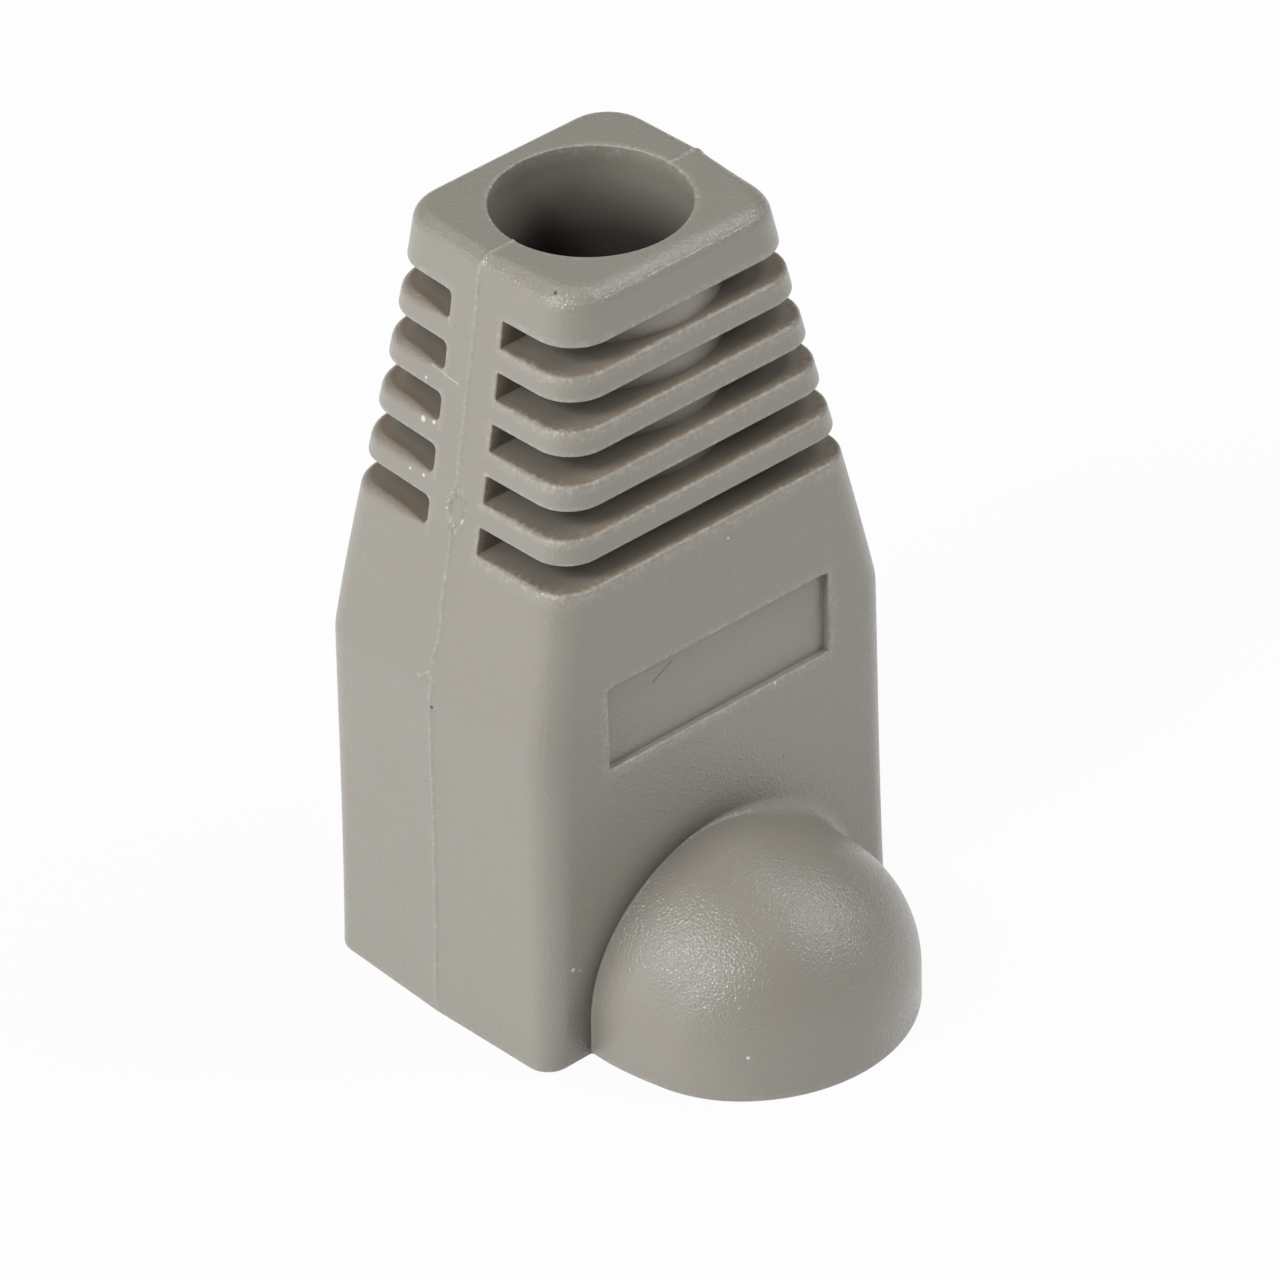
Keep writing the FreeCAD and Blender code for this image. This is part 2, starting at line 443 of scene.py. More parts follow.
def arch(s, angle, grow):
    """Point of the hood's arch where its outward direction is at an angle.

    The arch is a flat arc between two shoulders.
    """
    shoulder_x = s.hood_width / 2 - s.hood_shoulder_radius
    gap = s.hood_nose - s.hood_shoulder_radius
    crown = (shoulder_x ** 2 + s.hood_nose ** 2 - s.hood_shoulder_radius ** 2) / (2 * gap)
    joint = math.pi / 2 - math.asin(shoulder_x / (crown - s.hood_shoulder_radius))
    right = angle < joint
    left = angle > math.pi - joint
    centre_x = np.where(right, shoulder_x, np.where(left, -shoulder_x, 0.0))
    centre_z = np.where(right | left, 0.0, s.hood_nose - crown)
    radius = np.where(right | left, s.hood_shoulder_radius, crown) + grow
    return centre_x + radius * np.cos(angle), centre_z + radius * np.sin(angle)


def swollen(s, out, swell):
    """How far the hood swells beyond its arch, at a distance out of the front.

    Its profile is an ellipse there.
    """
    reach = s.hood_reach - s.waist_depth / 2
    ball = np.clip(out - (reach - s.hood_nose), 0, s.hood_nose)
    ellipse = (s.hood_nose + swell) * np.sqrt(np.clip(1 - (out / reach) ** 2, 0, 1))
    return np.clip(ellipse - np.sqrt(s.hood_nose ** 2 - ball ** 2), 0, swell)


def hooded_wall(shape, wall_at, front_at, grow, fillet):
    """Wall from the mouth up to the patch top, with the hood standing out of its front.

    Returns the row of points round its lower edge.
    """
    s = shape.s
    ring = shape.ring
    leg_heights = steps(shape.low, s.hood_skirt, Smooth.leg_rows)
    side_heights = steps(s.hood_skirt, shape.patch_top, Smooth.hood_rows)
    heights = np.concatenate([leg_heights, side_heights[1:]])
    walls = np.array([wall_at(z) for z in heights])
    shape.add(walls[:, ring.round_back])

    left_end, right_end = ring.front[0], ring.front[-1]
    frame_points = [walls[:, left_end], walls[-1, ring.front[1:-1]], walls[::-1, right_end]]
    frame_points = np.concatenate(frame_points)
    out_x, out_z = frame_points[:, 0], frame_points[:, 2]
    angle = np.arctan2(np.maximum(out_z - s.hood_skirt, 0), out_x)
    on_leg = out_z < s.hood_skirt

    swell = np.zeros(len(angle))
    crease = np.zeros(len(angle))
    if fillet > 0:
        tight = smooth_step((angle - s.tight_start) / s.tight_span)
        swell = tight * (s.hood_side_swell + (s.hood_top_swell - s.hood_side_swell) * np.sin(angle))
        fillet = fillet + (s.hood_tight_fillet - fillet) * tight
        # Painted shade on the front along the hood's tight foot, fading away from it
        crease = tight * s.crease_shade

    def arch_line(extra):
        x, rise = arch(s, angle, grow + extra)
        z = np.where(on_leg, out_z, s.hood_skirt + rise)
        return x, z

    foot_x, foot_z = arch_line(fillet + swell)
    rows = []
    for k in range(Smooth.rungs + 1):
        near = (k / Smooth.rungs) ** Smooth.rung_bunching
        x = foot_x + (out_x - foot_x) * near
        z = foot_z + (out_z - foot_z) * near
        rows.append(np.stack([x, front_at(z), z], axis=1))
    rungs = np.array(rows)
    spread = np.clip(1 - away_from_start(rungs) / s.crease_reach, 0, 1)
    shape.add(rungs, deep_shade=crease * spread ** 2)

    rows = []
    for a in steps(0, math.pi / 2, Smooth.fillet):
        x, z = arch_line(fillet * (1 - math.sin(a)) + swell)
        rows.append(np.stack([x, front_at(z) - fillet * (1 - math.cos(a)), z], axis=1))
    if np.max(fillet) == 0:
        rows = rows[-1:]
    barrel_start = rows[-1][:, 1]
    barrel_steps = Smooth.barrel + Smooth.fillet + 1 - len(rows)
    for t in steps(0, 1, barrel_steps)[1:]:
        y = barrel_start + (s.hood_nose - s.hood_reach - barrel_start) * t
        x, z = arch_line(swollen(s, -y - s.waist_depth / 2, swell))
        rows.append(np.stack([x, y, z], axis=1))
    barrel = np.array(rows)
    spread = np.clip(1 - away_from_start(barrel) / s.crease_reach, 0, 1)
    # The hood's top near its foot takes part of that painted shade
    over_top = np.sin(angle) ** 2
    shape.add(barrel, deep_shade=Marked.hood_shade * crease * over_top * spread)

    arc = np.where(out_z >= s.hood_skirt - WELD)[0]
    x, rise = arch(s, angle[arc], grow)
    centre_y = s.hood_nose - s.hood_reach
    rise = np.maximum(rise, 0)
    dome = []
    cosine, sine = np.cos(angle[arc]), np.sin(angle[arc])
    for a in steps(0, math.pi / 2, Smooth.dome):
        y = centre_y - rise * math.sin(a)
        more = swollen(s, -y - s.waist_depth / 2, swell[arc])
        height = s.hood_skirt + (rise + more * sine) * math.cos(a)
        dome.append(np.stack([x + more * cosine, y - more * sine * math.sin(a), height], axis=1))
    shape.add(dome)
    skirt = np.array([dome[-1]] * len(leg_heights))
    skirt[:, :, 2] = leg_heights[:, None]
    shape.add(skirt)

    lower_edge = list(rungs[:, -1])
    lower_edge += list(walls[0, ring.round_back[1:-1]])
    lower_edge += list(rungs[::-1, 0])
    lower_edge += list(barrel[1:, 0])
    lower_edge += list(skirt[0, 1:-1])
    lower_edge += list(barrel[::-1, -1][:-1])
    return np.array(lower_edge)


def outward(points):
    """Directions out of a closed row of points that runs anticlockwise, seen from above."""
    along = np.roll(points, -1, axis=0) - np.roll(points, 1, axis=0)
    normal = np.stack([along[:, 1], -along[:, 0], np.zeros(len(points))], axis=1)
    return normal / np.linalg.norm(normal, axis=1, keepdims=True)


def mouth(shape, outer, inner):
    """The mouth's rim: rounded edges outside and inside, and the flat ring between them."""
    s = shape.s
    lips = []
    for edge, way in ((outer, -1), (inner, 1)):
        normals = outward(edge) * way
        rows = []
        for ahead, depth in lip_levels(s.rim_lip):
            level = edge + normals * depth
            level[:, 2] = ahead
            rows.append(level)
        shape.add(closed(rows), edge_wear=Marked.rim_wear)
        lips.append(rows[-1])
    shape.add(closed(ladder(lips[0], lips[1], Smooth.rungs)))


def slot_heights(s, number):
    """Bottom and top of a slot, counted down from the cap."""
    top = s.boot_height - s.cap_thickness - number * s.slot_pitch
    return top - s.slot_height, top


def round_corners(s, points, bottom, top, ahead, depth):
    """Rounds the corners of a slot's opening where it ends on the narrow sides."""
    points = np.array(points, float)
    radius = np.where(points[:, 1] > 0, s.slot_corner_radius, s.front_slot_corner_radius) + ahead
    over_y = radius - (np.abs(points[:, 1]) - s.spine_thickness / 2 + ahead)
    middle = (bottom + top) / 2
    over_z = radius - ((top - bottom) / 2 + ahead - np.abs(points[:, 2] - middle))
    far = np.maximum(np.hypot(over_y, over_z), TINY)
    inside = (over_y > 0) & (over_z > 0)
    push = np.where(inside, 1 - np.maximum(over_y, over_z) / far, 0.0)
    y = np.abs(points[:, 1]) + over_y * push
    z = points[:, 2] - np.sign(points[:, 2] - middle) * over_z * push
    x = half_width(s, z) - depth / math.cos(s.draft) - math.tan(s.draft) * y
    rounded = np.stack([np.sign(points[:, 0]) * x, np.sign(points[:, 1]) * y, z], axis=1)
    return np.where(inside[:, None], rounded, points)


def rows_up(low, high, shares):
    """Heights between two others, at the given shares of the way."""
    return [low + (high - low) * t for t in shares]


def slot(shape, bottom, top, columns, shares):
    """One slot: its rounded lip, floor, ceiling, ends and the round tube behind it.

    Returns the points of its opening on the outside: bottom row, top row, first end and last end.
    """
    s = shape.s
    ring = shape.ring
    inner_columns = columns[1:-1]
    y_side = ring.y_side[inner_columns[len(inner_columns) // 2]]
    ends = (ring.x_side[columns[0]], ring.x_side[columns[-1]])
    spine = s.spine_thickness / 2
    angles = steps(0, math.pi / 2, Smooth.lip)

    def plain_row(z, ahead, depth):
        start = shape.side_point(ends[0], y_side * (spine - ahead), z, depth)
        end = shape.side_point(ends[1], y_side * (spine - ahead), z, depth)
        return np.array([start] + list(shape.outside(z, depth)[inner_columns]) + [end])

    def edge_row(edge, upward, radius, angle):
        ahead, depth = 1 - math.sin(angle), 1 - math.cos(angle)
        row = plain_row(edge + upward * s.slot_lip * ahead, s.slot_lip * ahead, s.slot_lip * depth)
        if radius > s.slot_lip:
            wide = plain_row(edge + upward * radius * ahead, s.slot_lip * ahead, radius * depth)
            run = smooth_step((np.abs(row[:, 1]) - spine) / s.fin_lip_run)
            row += (wide - row) * run[:, None]
        return round_corners(s, row, bottom, top, s.slot_lip * ahead, s.slot_lip * depth)

    back = y_side > 0
    upper_lip = s.fin_lip if back else s.front_fin_lip
    floor_lip = [edge_row(bottom, -1, upper_lip, angle) for angle in angles]
    ceiling_lip = [edge_row(top, 1, s.slot_lip, angle) for angle in angles]
    fin_wear = 0.0 if back else Marked.front_fin_wear
    # Painted warm glow on the slot's lower lip, for light shining through the PVC
    shape.add(floor_lip, edge_wear=fin_wear, slot_stain=(steps(0, 1, Smooth.lip) ** 2)[:, None])
    shape.add(ceiling_lip, edge_wear=Marked.slot_top_wear)
    end_lips = []
    for x_side in ends:
        rows = []
        for ahead, depth in lip_levels(s.slot_lip):
            heights = rows_up(bottom - ahead, top + ahead, shares)
            row = [shape.side_point(x_side, y_side * (spine - ahead), z, depth) for z in heights]
            rows.append(round_corners(s, row, bottom, top, ahead, depth))
        shape.add(rows, edge_wear=Marked.slot_end_wear)
        end_lips.append(np.array(rows))

    tube = s.bore_radius + s.tube_wall
    start_angle = math.asin(spine / tube)
    outline = plain_row((bottom + top) / 2, 0, s.slot_lip)
    polar = np.unwrap(np.arctan2(outline[:, 1], outline[:, 0]))
    share_round = (polar - polar[0]) / (polar[-1] - polar[0])
    first = start_angle if y_side > 0 else math.pi + start_angle
    round_tube = first + share_round * (math.pi - 2 * start_angle)
    circle = np.stack([tube * np.cos(round_tube), tube * np.sin(round_tube)], axis=1)
    circle[0, 1] = circle[-1, 1] = y_side * spine
    tube_heights = rows_up(bottom, top, shares)
    on_tube = np.array([np.column_stack([circle, np.full(len(circle), z)]) for z in tube_heights])

    for edge, inner in ((floor_lip[-1], on_tube[0]), (ceiling_lip[-1], on_tube[-1])):
        rows = ladder(edge, inner, Smooth.floor)
        # Painted warm glow near the slot's mouth and painted shade further in, on its floor and ceiling
        deep = Marked.fin_shade * np.clip(away_from_start(rows) / s.slot_glow_reach - 1, 0, 1)
        shape.add(rows, slot_stain=slot_glow_fade(s, rows), deep_shade=deep, smooth_skin=Marked.fin_smoothness)
    # Painted shade on the slot's ends, darker towards the ceiling, with the painted warm glow at their
    # mouths
    low_shade, high_shade = Marked.slot_end_shade
    darkest = low_shade + (high_shade - low_shade) * np.array(shares)
    for end, lip in zip((0, -1), end_lips):
        rows = ladder(lip[-1], on_tube[:, end], Smooth.floor)
        deep = darkest * np.clip(away_from_start(rows) / s.slot_glow_reach - low_shade, 0, 1)
        shape.add(rows, slot_stain=np.sqrt(slot_glow_fade(s, rows)), deep_shade=deep,
                  smooth_skin=Marked.slot_end_smoothness)
    shape.add(on_tube, smooth_skin=Marked.tube_smoothness)
    return floor_lip[0], ceiling_lip[0], end_lips[0][0], end_lips[1][0]


def rounded_rectangle(x, z, half_x, half_z, radius):
    """Moves points of a rectangle's corner squares so that its corners are round."""
    over_x = np.abs(x) - (half_x - radius)
    over_z = np.abs(z) - (half_z - radius)
    both = (over_x > 0) & (over_z > 0)
    far = np.maximum(np.hypot(over_x, over_z), TINY)
    pull = np.where(both, np.maximum(over_x, over_z) / far, 1.0)
    round_x = np.where(both, np.sign(x) * (half_x - radius + over_x * pull), x)
    round_z = np.where(both, np.sign(z) * (half_z - radius + over_z * pull), z)
    return round_x, round_z


def recess(shape, heights):
    """The blank recess: a rounded lip, four walls and a floor. Returns the row round its opening."""
    s = shape.s
    across = shape.ring.place[shape.ring.recess].copy()
    across[0], across[-1] = -1.0, 1.0
    low, high = heights[0], heights[-1]
    upward = (np.array(heights) - low) / (high - low) * 2 - 1
    path = [(a, -1.0) for a in across] + [(1.0, u) for u in upward[1:]]
    path += [(a, 1.0) for a in across[::-1][1:]] + [(-1.0, u) for u in upward[::-1][1:]]
    path_x, path_z = np.array(path).T
    corner = s.recess_corner_radius

    def loop(ahead, depth):
        half_x = s.recess_width / 2 + ahead
        half_z = s.recess_height / 2 + ahead
        x, z = rounded_rectangle(path_x * half_x, path_z * half_z, half_x, half_z, corner + ahead)
        height = s.recess_centre_height + z
        return np.stack([x, depth - half_depth(s, height), height], axis=1)

    rows = [loop(ahead, depth) for ahead, depth in lip_levels(s.recess_lip)]
    shape.add(rows, edge_wear=Marked.recess_wear)
    shape.add([loop(0, depth) for depth in steps(s.recess_lip, s.recess_depth, Smooth.recess_wall)])
    floor = []
    for u in upward:
        x, z = rounded_rectangle(across * s.recess_width / 2, np.full(len(across), u * s.recess_height / 2),
                                 s.recess_width / 2, s.recess_height / 2, corner)
        height = s.recess_centre_height + z
        floor.append(np.stack([x, s.recess_depth - half_depth(s, height), height], axis=1))
    shape.add(floor)
    opening = {}
    grid_path = [(a, 0) for a in range(len(across))] + [(len(across) - 1, u) for u in range(1, len(upward))]
    grid_path += [(a, len(upward) - 1) for a in range(len(across) - 2, -1, -1)]
    grid_path += [(0, u) for u in range(len(upward) - 2, -1, -1)]
    for place, point in zip(grid_path, rows[0]):
        opening[place] = point
    return opening


def even(values, reach):
    """Values round a ring, each averaged with its neighbours as far as reach."""
    shifted = [np.roll(values, shift) for shift in range(-reach, reach + 1)]
    return np.mean(shifted, axis=0)


def upper_wall(shape):
    """The outside from the patch top to the cap, round the recess and the slots.

    A faint paler line runs round the cap's rounded edge, where two parts of the mould met; it also stands
    in for painted glints along that rounding, strongest at the front.
    """
    s = shape.s
    ring = shape.ring
    waist_low, waist_high = s.waist_height - s.waist_softness, s.waist_height + s.waist_softness
    step_low = s.flash_step_height - 2 * s.flash_width
    step_high = s.flash_step_height + 2.6 * s.flash_width
    lowest = slot_heights(s, s.slot_count - 1)[0]
    recess_rows = list(steps(shape.recess_low - s.recess_lip, waist_low, Smooth.recess_ends))[:-1]
    recess_rows += list(steps(waist_low, waist_high, Smooth.waist))
    recess_rows += list(steps(step_low, step_high, Smooth.flash_step))
    recess_rows += list(steps(step_high, shape.recess_high + s.recess_lip, Smooth.recess_ends))[1:]
    opening = recess(shape, recess_rows)
    heights = list(steps(shape.patch_top, recess_rows[0], Smooth.below_recess))[:-1]
    recess_start = len(heights)
    heights += recess_rows
    recess_end = len(heights) - 1
    heights += list(steps(recess_rows[-1], lowest - s.fin_lip, Smooth.above_recess))[1:]
    windows = []
    for number in reversed(range(s.slot_count)):
        bottom, top = slot_heights(s, number)
        by_the_gate = number == s.slot_count - 1
        shares = Smooth.gate_slot_shares if by_the_gate else Smooth.slot_shares
        fin_rows = Smooth.gate_fin if by_the_gate else Smooth.fin
        start = len(heights) - 1
        heights += rows_up(bottom - s.fin_lip, top + s.slot_lip, shares)[1:]
        for columns in (ring.back_window, ring.front_window):
            windows.append((start, len(heights) - 1, columns, slot(shape, bottom, top, columns, shares)))
        above = s.boot_height - s.top_edge_radius
        if number > 0:
            above = slot_heights(s, number - 1)[0] - s.fin_lip
        heights += list(steps(top + s.slot_lip, above, fin_rows))[1:]

    wall = [shape.outside(z) for z in heights]
    # How far each column has the back's smaller edge, from none at the front left to all at the back right
    flat_back = np.clip(0.5 + (ring.x_side + 1.6 * ring.y_side) / 2, 0, 1)
    middle = ring.zone == "inner"
    flat_back[middle] = ring.y_side[middle] > 0
    flat_back = even(flat_back, Smooth.corner)[:, None]
    for degrees in Smooth.cap_turns:
        a = math.radians(degrees)
        rows = []
        for radius in (s.top_edge_radius, s.back_edge_radius):
            z = s.boot_height - radius * (1 - math.sin(a))
            rows.append(shape.outside(z, radius * (1 - math.cos(a))))
        wall.append(rows[0] + (rows[1] - rows[0]) * flat_back)
    wall = np.array(wall)
    for (across, upward), point in opening.items():
        wall[recess_start + upward, ring.recess[across]] = point

    open_cells = np.zeros((len(wall) - 1, ring.count), bool)
    for low, high, columns, (floor, ceiling, first_end, last_end) in windows:
        open_cells[np.ix_(range(low, high), columns[:-1])] = True
        wall[low, columns] = floor
        wall[high, columns] = ceiling
        wall[low:high + 1, columns[0]] = first_end
        wall[low:high + 1, columns[-1]] = last_end
    open_cells[recess_start:recess_end, ring.recess[0]:ring.recess[-1]] = True

    wall = closed(wall)
    wear = np.zeros(wall.shape[:2])
    # The paler line round the cap's edge: partly the mould's line, partly painted glints
    line = len(heights) + Smooth.cap_turns.index(Smooth.cap_line_turn)
    wear[line] = Marked.cap_line_pale_and_glint
    wear[line, ring.front[0]:] = Marked.front_cap_line_pale_and_glint
    shape.add(wall, cells=~open_cells, edge_wear=wear)
    return wall[-1][:-1]


def cap_and_bore(shape, cap_edge):
    """The flat top, the bore with its rounded rim, the lead-in cone and the socket's ceiling and walls."""
    s = shape.s
    angles = np.arctan2(cap_edge[:, 1], cap_edge[:, 0])

    def circle(radius, z):
        x, y = radius * np.cos(angles), radius * np.sin(angles)
        return np.stack([x, y, np.full(x.shape, z)], axis=1)

    top = s.boot_height
    shape.add(closed(ladder(cap_edge, circle(s.bore_radius + s.bore_lip, top), Smooth.floor)))
    rim = [circle(s.bore_radius + ahead, top - depth) for ahead, depth in lip_levels(s.bore_lip)]
    shape.add(closed(rim), edge_wear=Marked.bore_wear)
    cone_top = s.socket_length + s.bore_lead_in
    heights = steps(top - s.bore_lip, cone_top, Smooth.bore)
    # Painted shade on the bore's wall: none at the top, darkest from a few millimetres down to near the
    # cone, none again at the cone
    turns = (cone_top, cone_top + s.bore_radius, top - s.shade_end, top - s.shade_start)
    shade = np.interp(heights, turns, (0, 1, 1, 0))
    bore = [circle(s.bore_radius, z) for z in heights]
    shape.add(closed(bore), deep_shade=shade[:, None], smooth_skin=Marked.bore_smoothness)
    cone = [circle(s.bore_radius + out, cone_top - out) for out in steps(0, s.bore_lead_in, Smooth.cone)]
    shape.add(closed(cone))
    shape.add(closed(ladder(cone[-1], shape.inside(s.socket_length), Smooth.rungs)))
    shape.add(closed([shape.inside(z) for z in steps(shape.patch_top, s.socket_length, Smooth.socket)]))


def moulding(s):
    """Every patch of the boot's surface."""
    shape = Shape(s)

    def outer_front(z):
        return -half_depth(s, z)

    def inner_front(z):
        return np.full(np.shape(z), -s.socket_depth / 2)

    outer = hooded_wall(shape, shape.outside, outer_front, 0.0, s.hood_fillet)
    inner = hooded_wall(shape, shape.inside, inner_front, -s.hood_wall, 0.0)
    mouth(shape, outer, inner)
    cap_edge = upper_wall(shape)
    cap_and_bore(shape, cap_edge)
    return shape


def rough(along, seed):
    """Uneven but repeatable number between 0 and 1 along a line."""
    slow = 0.25 * np.sin(along * 2.9 + seed)
    quick = 0.15 * np.sin(along * 7.3 + 2 * seed)
    return 0.5 + slow + quick + 0.1 * np.sin(along * 17.1)


def flash_tick(s, y, z):
    """The short slanted tick of flash beside the parting line's step, from 0 to 1."""
    beside = (y > parting_line(z)) & (y < 5 * s.flash_width)
    slanted = z + 0.7 * y - s.flash_step_height - 1.8 * s.flash_width
    tick = np.clip(1 - (slanted / (0.8 * s.flash_width)) ** 2, 0, 1)
    return np.where(beside, tick, 0.0)


def gate_scar(s, y, z):
    """The torn scar of the gate: a shallow pit with an uneven rim.

    Returns how far points are lifted, how pale they are, and how far off they are, in half sizes of it.
    """
    across = (y + s.flash_width) / (s.gate_width / 2)
    upward = (z - s.gate_height) / (s.gate_length / 2)
    far = np.hypot(across, upward)
    turned = np.arctan2(upward, across)
    torn = rough(turned * 2, 1.3) * rough(turned * 5, 4.1)
    rim_place = 0.86 + 0.12 * rough(turned * 3, 2.2)
    rim_width = 0.2
    rim = np.exp(-((far - rim_place) / rim_width) ** 2)
    pit = np.sqrt(np.clip(1.05 - far, 0, 1))
    lift = (rim * (0.5 + 5 * torn) - 1.2 * pit) * s.flash_height
    return lift, rim * np.clip(torn * 4, 0.3, 1), far


def relief(s, points, normals):
    """What the mould leaves on the skin: how far each point is lifted, and how pale that leaves it."""
    x, y, z = points.T
    level = np.abs(normals[:, 2]) < 0.99
    on_side = (np.abs(x) > half_width(s, z) - 5 * s.flash_width) & level
    on_top = (z > s.boot_height - s.flash_height) & (np.hypot(x, y) > s.bore_radius + s.bore_lip / 2)
    off_line = np.abs(y - parting_line(z))
    ridge = np.clip(1 - (off_line / s.flash_width) ** 2, 0, 1) ** 1.5
    ridge = np.where(on_side | on_top, ridge, 0.0)
    at_the_mouth = np.clip((z - s.rim_lip) / s.hood_skirt, 0, 1)
    lift = ridge * s.flash_height * at_the_mouth * (0.55 + 0.45 * rough(z / MM * 2.1, 0.4))
    pale = ridge * (0.2 + 0.5 * rough(z / MM * 1.3, 2.4))

    left = on_side & (x < 0)
    tick = np.where(left, flash_tick(s, y, z), 0.0)
    lift = np.maximum(lift, 0.8 * tick * s.flash_height)
    pale = np.maximum(pale, 0.9 * tick)

    scar, pale_scar, far = gate_scar(s, y, z)
    near_gate = left & (far < 1.7)
    lift = np.where(near_gate & (far < 1), 0, lift) + np.where(near_gate, scar, 0)
    pale = np.where(near_gate, np.maximum(pale * (far > 1), pale_scar), pale)
    return lift, pale


def leaned(s, points):
    """The neck's slight lean to the left, more and more of it towards the top."""
    up = np.clip((points[:, 2] - s.waist_height) / (s.boot_height - s.waist_height), 0, 1)
    points[:, 0] -= s.neck_lean * up ** 3
    return points


def welded(patches):
    """Joins the patches where they meet. Returns the points, the faces and the points' marks."""
    grids, states, kept = zip(*patches)
    points = np.concatenate([grid.reshape(-1, 3) for grid in grids])
    states = np.concatenate([state.reshape(-1, len(MARKS)) for state in states])
    quads = []
    start = 0
    for grid, cells in zip(grids, kept):
        rows, columns = grid.shape[:2]
        number = start + np.arange(rows * columns).reshape(rows, columns)
        corners = [number[:-1, :-1], number[:-1, 1:], number[1:, 1:], number[1:, :-1]]
        quads.append(np.stack([corner[cells] for corner in corners], axis=1))
        start += rows * columns
    # The odd shift keeps points at round numbers off the edges between two keys
    keys = np.floor(points / WELD + 0.3137).astype(np.int64)
    first, merged = np.unique(keys, axis=0, return_index=True, return_inverse=True)[1:]
    merged = merged.reshape(-1)
    state = np.zeros((len(first), len(MARKS)))
    np.maximum.at(state, merged, states)
    faces = []
    for quad in merged[np.concatenate(quads)]:
        face = [int(v) for n, v in enumerate(quad) if v != quad[n - 1]]
        if len(set(face)) == len(face) and len(face) > 2:
            faces.append(face)
    return points[first], faces, state


def shell(name, s, patches):
    """Mesh of a closed surface, shaded smooth up to its true corners."""
    points, faces, state = welded(patches)
    mesh = bpy.data.meshes.new(name)
    mesh.from_pydata([tuple(p) for p in points], [], faces)
    for column, title in enumerate(MARKS):
        attribute = mesh.attributes.new(title, "FLOAT", "POINT")
        attribute.data.foreach_set("value", state[:, column].astype(np.float32))
    form = bmesh.new()
    form.from_mesh(mesh)
    loose = [v for v in form.verts if not v.link_faces]
    bmesh.ops.delete(form, geom=loose, context="VERTS")
    torn = [e for e in form.edges if len(e.link_faces) != 2]
    if torn:
        places = [tuple(round(c / MM, 3) for c in e.verts[0].co) for e in torn[:6]]
        raise ValueError(f"{name} isn't closed: {len(torn)} edges, near {places}")
    bmesh.ops.recalc_face_normals(form, faces=form.faces)
    form.normal_update()
    places = np.array([tuple(v.co) for v in form.verts])
    normals = np.array([tuple(v.normal) for v in form.verts])
    lift, pale = relief(s, places, normals)
    places = leaned(s, places + normals * lift[:, None])
    wear_layer = form.verts.layers.float["edge_wear"]
    for vertex, place, extra in zip(form.verts, places, pale):
        vertex.co = place
        vertex[wear_layer] = max(vertex[wear_layer], float(extra))
    for face in form.faces:
        face.smooth = True
    for edge in form.edges:
        edge.smooth = edge.calc_face_angle(0.0) < math.radians(Smooth.sharp_degrees)
    form.to_mesh(mesh)
    form.free()
    return mesh


def piece(name, mesh, material):
    """A piece of the part, riding on its one body."""
    thing = bpy.data.objects.new(name, mesh)
    bpy.context.scene.collection.objects.link(thing)
    thing.data.materials.append(material)
    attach(thing, "root")
    return thing


def add_node(tree, kind, settings=(), **links):
    """Adds a shader node with its settings and what its inputs take, which are sockets or values."""
    node = tree.nodes.new(kind)
    for name, value in dict(settings).items():
        setattr(node, name, value)
    for name, value in links.items():
        socket = node.inputs[int(name[1:])] if name[1:].isdigit() else node.inputs[name.replace("_", " ")]
        if isinstance(value, bpy.types.NodeSocket):
            tree.links.new(value, socket)
        else:
            socket.default_value = value
    return node


class Finish(bpy.types.PropertyGroup):
    """The finish: its colours, its grain and the film on it."""

    body_colour: colour("Body", "Warm grey of the PVC", "#9C978C")
    shade_colour: colour("Shade", "Slightly deeper grey that clouds the body", "#989388")
    worn_colour: colour("Worn edge", "Pale, stretched PVC along rubbed edges", "#C4BFB4")
    dust_colour: colour("Dust", "Pale specks pressed into the skin", "#E2DFD6")
    dirt_colour: colour("Dirt", "Dark specks", "#4A443C")
    fibre_colour: colour("Fibre", "Fine brown fibre lying in the recess", "#6E6155")
    # Painted warm glow just inside the slots, for light shining through the PVC
    slot_glow_colour: colour("Stain", "Warm brown just inside the slots", "#7A5F40")
    # Painted shade: a dark colour in the bore, on the slots' ends and beside the hood's foot
    painted_shade_colour: colour("Deep skin", "Dark skin in the bore, the slots' ends and by the hood", "#26231F")
    grain_width: length("Grain width", "One crater of the spark-eroded grain", 0.09)
    grain_depth: length("Grain depth", "How deep the grain is", 0.021)
    nick_width: length("Nick width", "One worn patch along an edge", 0.17)
    cloud_width: length("Cloud width", "One cloud of deeper grey", 2.6)
    # How strongly that painted warm glow shows
    slot_glow_strength: share("Stain strength", "How far the stain covers the skin at a slot's mouth", 0.6)
    # How strongly the painted shade shows where it is darkest
    shade_strength: share("Shade strength", "How far the deep skin covers the body at its darkest", 0.85)
    skin_roughness: share("Skin roughness", "Roughness of the PVC under its film", 0.46)
    film: share("Film", "How much plasticiser lies on the skin", 0.65)
    film_roughness: share("Film roughness", "Roughness of that film", 0.13)
    skin_grain: share("Skin grain", "How much of the grain shows in the PVC under its film", 0.4)
    ground_grain: share("Ground grain", "How much of the grain is left where the tool was ground", 0.15)


# How much the PVC and the film on it bend light
PVC_INDEX = 1.53
FILM_INDEX = 1.5

